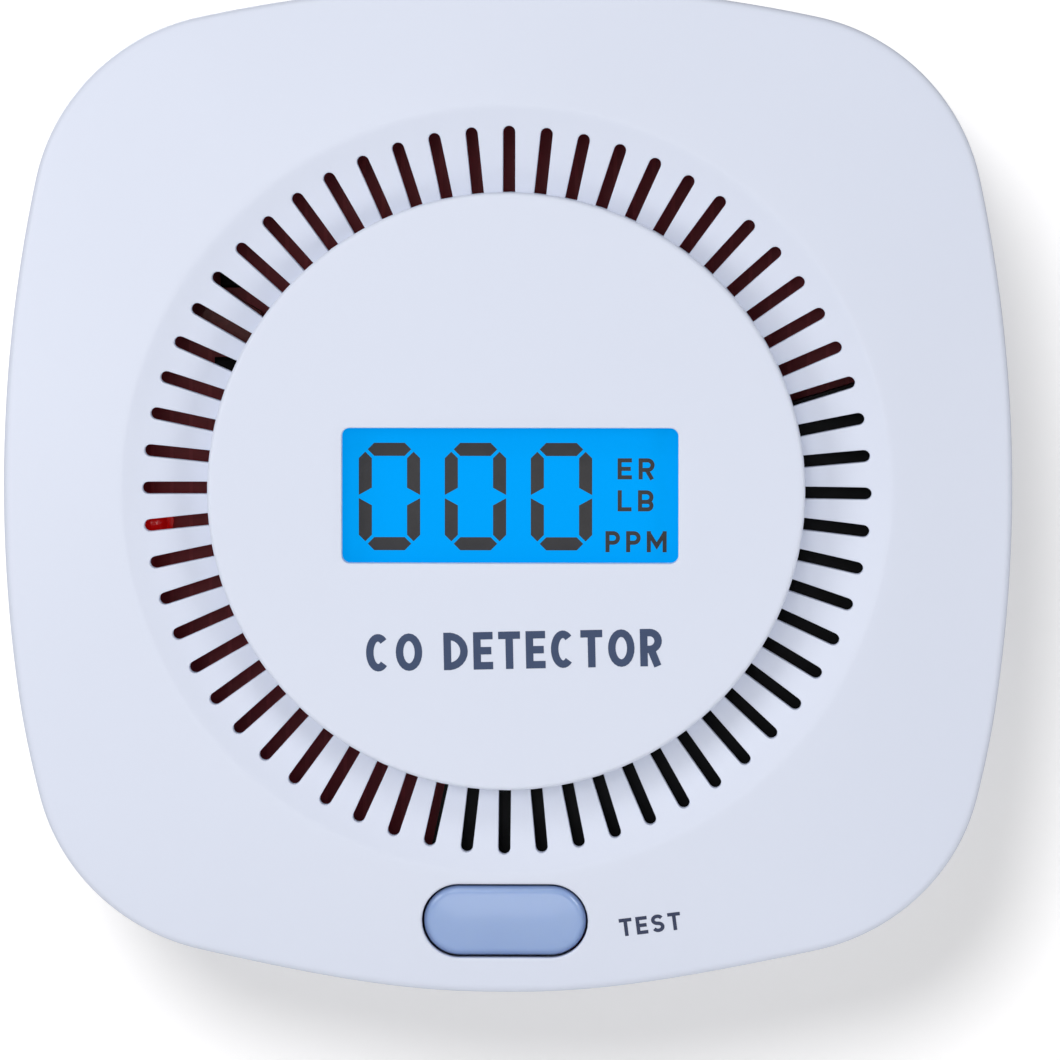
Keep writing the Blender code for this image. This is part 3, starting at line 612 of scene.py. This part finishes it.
def ribbon(skin, line, width, closed, surface, ink):
    """A thin raised band along a centre line, with mitred corners, lying on a surface."""
    rails = ([], [])
    for i, (x, y) in enumerate(line):
        spans = []
        if closed or i > 0:
            spans.append((line[i - 1], line[i]))
        if closed or i < len(line) - 1:
            spans.append((line[i], line[(i + 1) % len(line)]))
        sides = []
        for start, end in spans:
            length = math.dist(start, end)
            sides.append(((start[1] - end[1]) / length, (end[0] - start[0]) / length))
        across = (sum(side[0] for side in sides), sum(side[1] for side in sides))
        length = math.hypot(*across)
        across = (across[0] / length, across[1] / length)
        lean = max(0.5, across[0] * sides[0][0] + across[1] * sides[0][1])
        for rail, sign in zip(rails, (1, -1)):
            reach = sign * width / 2 / lean
            rail.append((x + across[0] * reach, y + across[1] * reach))
    loops = []
    for rail, lift in ((0, -ink), (0, ink), (1, ink), (1, -ink)):
        heights = [surface(*point) + lift for point in rails[rail]]
        loops.append(skin.loop(rails[rail], heights))
    loops.append(loops[0])
    skin.bridge(loops, closed=closed)
    if not closed:
        skin.cap([loop[0] for loop in loops[:4]])
        skin.cap([loop[-1] for loop in reversed(loops[:4])])


def level(height):
    """A flat surface for lettering, at one height."""
    return lambda x, y: height


def lettering(name, text, centre, size, weight, surface, tilt=0.0, gap=0.3):
    """Generic block capitals of a given overall size, printed on a surface."""
    shares = {"M": 1.3, "O": 1.15, "C": 1.05, "D": 1.05, "E": 0.85, "L": 0.85, " ": 0.45}
    widths = [shares.get(letter, 0.95) for letter in text]
    unit = size[0] / (sum(widths) + gap * (len(text) - 1))
    skin = Skin()
    pen = -size[0] / 2
    for letter, share in zip(text, widths):
        if letter != " ":
            strokes = glyph(letter, share * unit, size[1], weight)
            for layer, (line, closed) in enumerate(strokes):
                moved = [(pen + x, y - size[1] / 2) for x, y in line]
                turned = spin(moved, math.radians(tilt))
                laid = [(centre[0] + x, centre[1] + y) for x, y in turned]
                ribbon(skin, laid, weight, closed, surface, INK + INK_STEP * layer)
        pen += (share + gap) * unit
    return skin.build(name, 30)


def make_glass():
    """The display glass with ground edges."""
    low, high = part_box("lcd_glass")
    grind = 0.25 * mm
    skin = Skin()
    loops = []
    for inset, height in ((0, -high.y), (0, -low.y - grind), (grind, -low.y)):
        outline = [(low.x + inset, low.z + inset), (high.x - inset, low.z + inset)]
        outline += [(high.x - inset, high.z - inset), (low.x + inset, high.z - inset)]
        loops.append(skin.loop(outline, height))
    skin.bridge(loops)
    skin.cap(loops[-1])
    skin.cap(loops[0][::-1])
    return skin.build("lcd_glass_plate", 20)


def make_chip(name, centre, half):
    """A small moulded component on the circuit board, with a chamfered top."""
    board = -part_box("main_pcb")[0].y
    skin = Skin()
    loops = []
    profile = ((0, 0.03), (0, 0.55), (0.08, 0.6), (0.08, 1.0), (0.25, 1.15))
    for inset, height in profile:
        x, y = half[0] - inset * mm, half[1] - inset * mm
        corners = [(-x, -y), (x, -y), (x, y), (-x, y)]
        outline = [(centre[0] + cx, centre[1] + cy) for cx, cy in corners]
        loops.append(skin.loop(outline, board + height * mm))
    skin.bridge(loops)
    skin.cap(loops[-1])
    skin.cap(loops[0][::-1])
    return skin.build(name, 20)


# Materials ----------------------------------------------------------------------------------

class Look:
    """A Principled material with a few procedural layers."""

    def __init__(self, name, colour, roughness, metallic=0.0, specular=0.5):
        self.material = bpy.data.materials.new(name)
        self.material.use_nodes = True
        self.nodes = self.material.node_tree.nodes
        self.links = self.material.node_tree.links
        self.shader = self.nodes["Principled BSDF"]
        self.colour = colour
        self.set("Base Color", (*colour, 1))
        self.set("Roughness", roughness)
        self.set("Metallic", metallic)
        self.set("Specular IOR Level", specular)
        self.where = self.nodes.new("ShaderNodeTexCoord").outputs["Object"]

    def set(self, socket, value):
        """Sets one of the shader's own sockets."""
        self.shader.inputs[socket].default_value = value

    def noise(self, scale, detail=2.0, rough=0.5):
        """Noise fixed to the object, at scale waves per metre."""
        node = self.nodes.new("ShaderNodeTexNoise")
        node.inputs["Scale"].default_value = scale
        node.inputs["Detail"].default_value = detail
        node.inputs["Roughness"].default_value = rough
        self.links.new(self.where, node.inputs["Vector"])
        return node.outputs["Fac"]

    def remap(self, value, low, high):
        """A value from 0 to 1, stretched to run from low to high."""
        node = self.nodes.new("ShaderNodeMapRange")
        node.inputs["To Min"].default_value = low
        node.inputs["To Max"].default_value = high
        self.links.new(value, node.inputs["Value"])
        return node.outputs["Result"]

    def vary_colour(self, value, other):
        """Lets the colour drift towards another one with a value."""
        node = self.nodes.new("ShaderNodeMix")
        node.data_type = "RGBA"
        node.inputs["A"].default_value = (*self.colour, 1)
        node.inputs["B"].default_value = (*other, 1)
        self.links.new(value, node.inputs["Factor"])
        self.links.new(node.outputs["Result"], self.shader.inputs["Base Color"])

    def vary_roughness(self, value, low, high):
        """Lets the roughness run from low to high with a value."""
        self.links.new(self.remap(value, low, high), self.shader.inputs["Roughness"])

    def bump(self, value, distance, strength=0.3):
        """Raises the surface with a value, and gives the finished look."""
        node = self.nodes.new("ShaderNodeBump")
        node.inputs["Strength"].default_value = strength
        node.inputs["Distance"].default_value = distance
        self.links.new(value, node.inputs["Height"])
        self.links.new(node.outputs["Normal"], self.shader.inputs["Normal"])
        return self


def white_plastic(name, colour):
    """Finely textured satin plastic."""
    look = Look(name, colour, 0.42, specular=0.4)
    grain = look.noise(2600, detail=3, rough=0.6)
    cloud = look.noise(28)
    look.vary_colour(cloud, tuple(c * 0.975 for c in colour))
    look.vary_roughness(grain, 0.36, 0.5)
    return look.bump(grain, 0.02 * mm, 0.25)


def plain(name, colour, roughness, scale=400, metallic=0.0, depth=0.02, vary=0.85, specular=0.5):
    """One grain for colour, roughness and bump; depth is in millimetres."""
    look = Look(name, colour, roughness, metallic, specular)
    grain = look.noise(scale, detail=3)
    look.vary_colour(grain, tuple(c * vary for c in colour))
    look.vary_roughness(grain, roughness * 0.85, min(1.0, roughness * 1.15))
    return look.bump(grain, depth * mm, 0.3)


def frosted():
    """Pale blue plastic with a clear skin and a milky body."""
    look = Look("button_frost", (0.26, 0.37, 0.63), 0.22)
    look.set("Coat Weight", 0.35)
    look.set("Coat Roughness", 0.08)
    look.set("Subsurface Weight", 0.25)
    look.set("Subsurface Radius", (0.6, 0.8, 1.4))
    look.set("Subsurface Scale", 1.2 * mm)
    haze = look.noise(160)
    look.vary_colour(haze, (0.28, 0.395, 0.66))
    look.vary_roughness(haze, 0.18, 0.28)
    return look.bump(look.noise(700), 0.01 * mm, 0.15)


def lit_display():
    """The display's evenly lit blue film."""
    look = Look("lcd_blue", (0.0, 0.12, 0.4), 0.5, specular=0.01)
    look.set("Emission Color", (0.0, 0.238, 0.54, 1))
    look.set("Emission Strength", 1.0)
    film = look.noise(90, detail=1)
    look.vary_colour(film, (0.0, 0.13, 0.42))
    look.vary_roughness(look.noise(900), 0.45, 0.55)
    return look


def solder_mask():
    """Dark red solder mask with the faint raised tracks of a circuit board."""
    look = Look("board_red", (0.42, 0.045, 0.055), 0.35, specular=0.25)
    tracks = look.nodes.new("ShaderNodeTexBrick")
    tracks.inputs["Scale"].default_value = 260
    tracks.inputs["Mortar Size"].default_value = 0.05
    look.links.new(look.where, tracks.inputs["Vector"])
    look.vary_colour(tracks.outputs["Fac"], (0.48, 0.06, 0.07))
    look.vary_roughness(look.noise(500), 0.3, 0.45)
    return look.bump(tracks.outputs["Fac"], 0.03 * mm, 0.3)


def red_lamp():
    """A red lamp, faintly lit."""
    look = Look("led_red", (0.45, 0.01, 0.01), 0.15)
    look.set("Emission Color", (0.6, 0.0, 0.0, 1))
    look.set("Emission Strength", 0.25)
    look.vary_roughness(look.noise(300), 0.1, 0.22)
    return look


LOOKS = {
    "case_white": white_plastic("case_white", (0.66, 0.70, 0.815)),
    "plate_white": white_plastic("plate_white", (0.66, 0.69, 0.77)),
    "button_frost": frosted(),
    "lcd_glass": lit_display(),
    "lcd_backlight": lit_display(),
    "board_red": solder_mask(),
    "black_plastic": plain("black_plastic", (0.008, 0.008, 0.009), 0.55, specular=0.15),
    "coil": plain("coil", (0.24, 0.035, 0.03), 0.35, 2200, depth=0.05, vary=0.5, specular=0.25),
    "steel": plain("steel", (0.56, 0.57, 0.6), 0.28, 900, metallic=1.0, depth=0.01, vary=0.92),
    "aluminium_can": plain(
        "aluminium_can", (0.6, 0.61, 0.64), 0.32, 700, metallic=1.0, depth=0.01, vary=0.92
    ),
    "sensor_filter": plain(
        "sensor_filter", (0.02, 0.02, 0.022), 0.8, 1500, depth=0.06, vary=0.6
    ),
    "brass": plain("brass", (0.68, 0.47, 0.19), 0.3, 700, metallic=1.0, depth=0.01, vary=0.9),
    "led_red": red_lamp(),
    "cell_jacket": plain(
        "cell_jacket", (0.02, 0.03, 0.09), 0.28, 200, metallic=0.6, depth=0.01, vary=0.9
    ),
    "wire_red": plain("wire_red", (0.42, 0.015, 0.012), 0.45, 800),
    "wire_black": plain("wire_black", (0.012, 0.012, 0.012), 0.45, 800),
    "label_silver": plain(
        "label_silver", (0.6, 0.61, 0.63), 0.34, 1200, metallic=0.5, depth=0.01, vary=0.95
    ),
    "ink": plain("ink", (0.03, 0.055, 0.13), 0.55, 900, depth=0.005),
    "ink_dark": plain("ink_dark", (0.022, 0.033, 0.085), 0.55, 900, depth=0.005),
    "lcd_dark": plain("lcd_dark", (0.026, 0.025, 0.027), 0.7, 600, depth=0.002, vary=0.9),
}


# Pieces on their bodies ---------------------------------------------------------------------

def dress(obj, look):
    """Gives an object one of the looks, in place of any material it has."""
    obj.data.materials.clear()
    obj.data.materials.append(LOOKS[look].material)


def fit(obj, body, look, replaces=()):
    """Gives a new piece its look, its body and the CAD nodes it stands for."""
    dress(obj, look)
    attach(obj, body)
    if replaces:
        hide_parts(*replaces)


def smooth(node):
    """Shades a faceted solid round, with its real corners kept crisp."""
    node.data.shade_smooth()
    weld = node.modifiers.new("weld", "WELD")
    weld.merge_threshold = 0.001 * mm
    split = node.modifiers.new("corners", "EDGE_SPLIT")
    split.split_angle = math.radians(CRISP_ANGLE)
    node.modifiers.new("shading", "WEIGHTED_NORMAL")


for row in frame["record"]["subparts"]:
    dress(frame["nodes"][row["node"]], row["material_slot"])
dress(frame["nodes"]["inductor"], "coil")

for node in frame["nodes"].values():
    smooth(node)

fit(make_front_cover(), "housing", "case_white", ["front_cover"])
fit(make_button(), "test_button", "button_frost", ["test_button"])
fit(make_glass(), "housing", "lcd_glass", ["lcd_glass"])

for name, centre, half in (
    ("board_chip_upper", (-27.4 * mm, 20.75 * mm), (1.3 * mm, 0.9 * mm)),
    ("board_chip_lower", (-27.75 * mm, 11.95 * mm), (1.55 * mm, 0.95 * mm)),
):
    fit(make_chip(name, centre, half), "housing", "black_plastic")

glass_top = -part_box("lcd_glass")[0].y
fit(make_digits(glass_top), "housing", "lcd_dark")
for name, text, centre, size in (
    ("lcd_mark_fault", "ER", (12.8 * mm, 2.2 * mm), (3.65 * mm, 2.08 * mm)),
    ("lcd_mark_battery", "LB", (12.75 * mm, -0.96 * mm), (3.53 * mm, 2.08 * mm)),
    ("lcd_mark_unit", "PPM", (12.8 * mm, -5.0 * mm), (6.04 * mm, 2.08 * mm)),
):
    mark = lettering(name, text, centre, size, 0.4 * mm, level(glass_top), gap=0.4)
    fit(mark, "housing", "lcd_dark")

legend = lettering(
    "legend", "CO DETECTOR", (0.8 * mm, -15.6 * mm), (29.2 * mm, 3.7 * mm), 0.74 * mm,
    level(FACE), tilt=1.2, gap=0.24
)
fit(legend, "housing", "ink")
test = lettering(
    "test_legend", "TEST", (14.2 * mm, -43.0 * mm), (6.1 * mm, 1.8 * mm), 0.36 * mm,
    face_height, tilt=7
)
fit(test, "housing", "ink_dark")


# Studio -------------------------------------------------------------------------------------

def backdrop_material(name, colour, one_sided):
    """Matt paint. One-sided paint glows a little and is clear when seen from behind."""
    look = plain(name, colour, 0.8, 6, depth=0.01, vary=0.99)
    if one_sided:
        look.set("Emission Color", (1.0, 1.0, 1.0, 1))
        look.set("Emission Strength", 0.34)
        output = look.nodes["Material Output"]
        clear = look.nodes.new("ShaderNodeBsdfTransparent")
        side = look.nodes.new("ShaderNodeNewGeometry")
        choose = look.nodes.new("ShaderNodeMixShader")
        look.links.new(side.outputs["Backfacing"], choose.inputs["Fac"])
        look.links.new(look.shader.outputs["BSDF"], choose.inputs[1])
        look.links.new(clear.outputs["BSDF"], choose.inputs[2])
        look.links.new(choose.outputs["Shader"], output.inputs["Surface"])
    return look.material


def stage_plane(name, corners, material):
    """A flat backdrop, which isn't part of the object."""
    mesh = bpy.data.meshes.new(name)
    mesh.from_pydata(corners, [], [(0, 1, 2, 3)])
    mesh.materials.append(material)
    obj = link(name, mesh)
    return obj


def make_stage():
    """A pale wall behind the detector, seen from the front only, and a pale floor below it."""
    reach = 3.0
    floor_z = -0.6
    wall_y = 0.4 * mm
    wall = stage_plane(
        "wall",
        [(-reach, wall_y, floor_z), (reach, wall_y, floor_z),
         (reach, wall_y, reach), (-reach, wall_y, reach)],
        backdrop_material("wall_paint", (0.8, 0.79, 0.79), True),
    )
    wall.visible_diffuse = False
    wall.visible_glossy = False
    wall.visible_transmission = False
    wall.visible_shadow = False
    stage_plane(
        "floor",
        [(-reach, -reach, floor_z), (reach, -reach, floor_z),
         (reach, reach, floor_z), (-reach, reach, floor_z)],
        backdrop_material("floor_paint", (0.9, 0.9, 0.9), False),
    )


def soft_light(name, position, size, power):
    """A round area light aimed at the wall behind the detector's middle."""
    light = bpy.data.lights.new(name, "AREA")
    light.shape = "DISK"
    light.size = size
    light.energy = power
    obj = link(name, light)
    obj.location = position
    inwards = Vector() - Vector(position)
    obj.rotation_euler = inwards.to_track_quat("-Z", "Y").to_euler()
    return obj


def make_studio():
    """One light for the wall's shadow, five round the face, and one for views from behind."""
    world = bpy.data.worlds.new("studio")
    world.use_nodes = True
    sky = world.node_tree.nodes["Background"]
    sky.inputs["Color"].default_value = (1.0, 1.0, 1.0, 1)
    sky.inputs["Strength"].default_value = 0.28
    bpy.context.scene.world = world
    wall = bpy.data.objects["wall"]
    link_light(soft_light("wall_key", (-0.3, -1.5, 0.58), 0.58, 17.0), wall, "INCLUDE")
    for name, position, size, power in (
        ("left", (-0.55, -0.46, 0.1), 0.4, 1.85),
        ("above", (-0.1, -0.55, 0.65), 0.4, 1.6),
        ("right", (0.95, -0.8, 0.0), 0.6, 4.3),
        ("below", (0.0, -0.8, -0.5), 0.4, 0.75),
        ("front", (-0.3, -1.4, 0.25), 0.7, 2.8),
    ):
        link_light(soft_light(name, position, size, power), wall, "EXCLUDE")
    soft_light("rear_fill", (-0.5, 1.0, 0.6), 0.7, 8.0)
    bpy.context.scene.view_settings.view_transform = "Standard"


def link_light(light, wall, state):
    """The wall has a light of its own, for its one soft shadow; the others leave it alone."""
    group = bpy.data.collections.new(light.name + "_receivers")
    group.objects.link(wall)
    group.collection_objects[0].light_linking.link_state = state
    light.light_linking.receiver_collection = group


def make_camera():
    """Nearly head-on and a metre off, a little above the middle and a little to the right."""
    camera = bpy.data.cameras.new("camera")
    distance = 1.0
    frame_width = 105.2 * mm
    aim = Vector((2.2 * mm, -29 * mm, -4.1 * mm))
    elevation, azimuth = math.radians(3.0), math.radians(1.5)
    away = Vector(
        (math.sin(azimuth) * math.cos(elevation), -math.cos(azimuth) * math.cos(elevation),
         math.sin(elevation))
    )
    camera.sensor_width = 36
    camera.lens = camera.sensor_width * distance / frame_width
    camera.clip_start = 0.01
    obj = link("camera", camera)
    obj.location = aim + away * distance
    obj.rotation_euler = (-away).to_track_quat("-Z", "Y").to_euler()
    bpy.context.scene.camera = obj


make_stage()
make_studio()
make_camera()
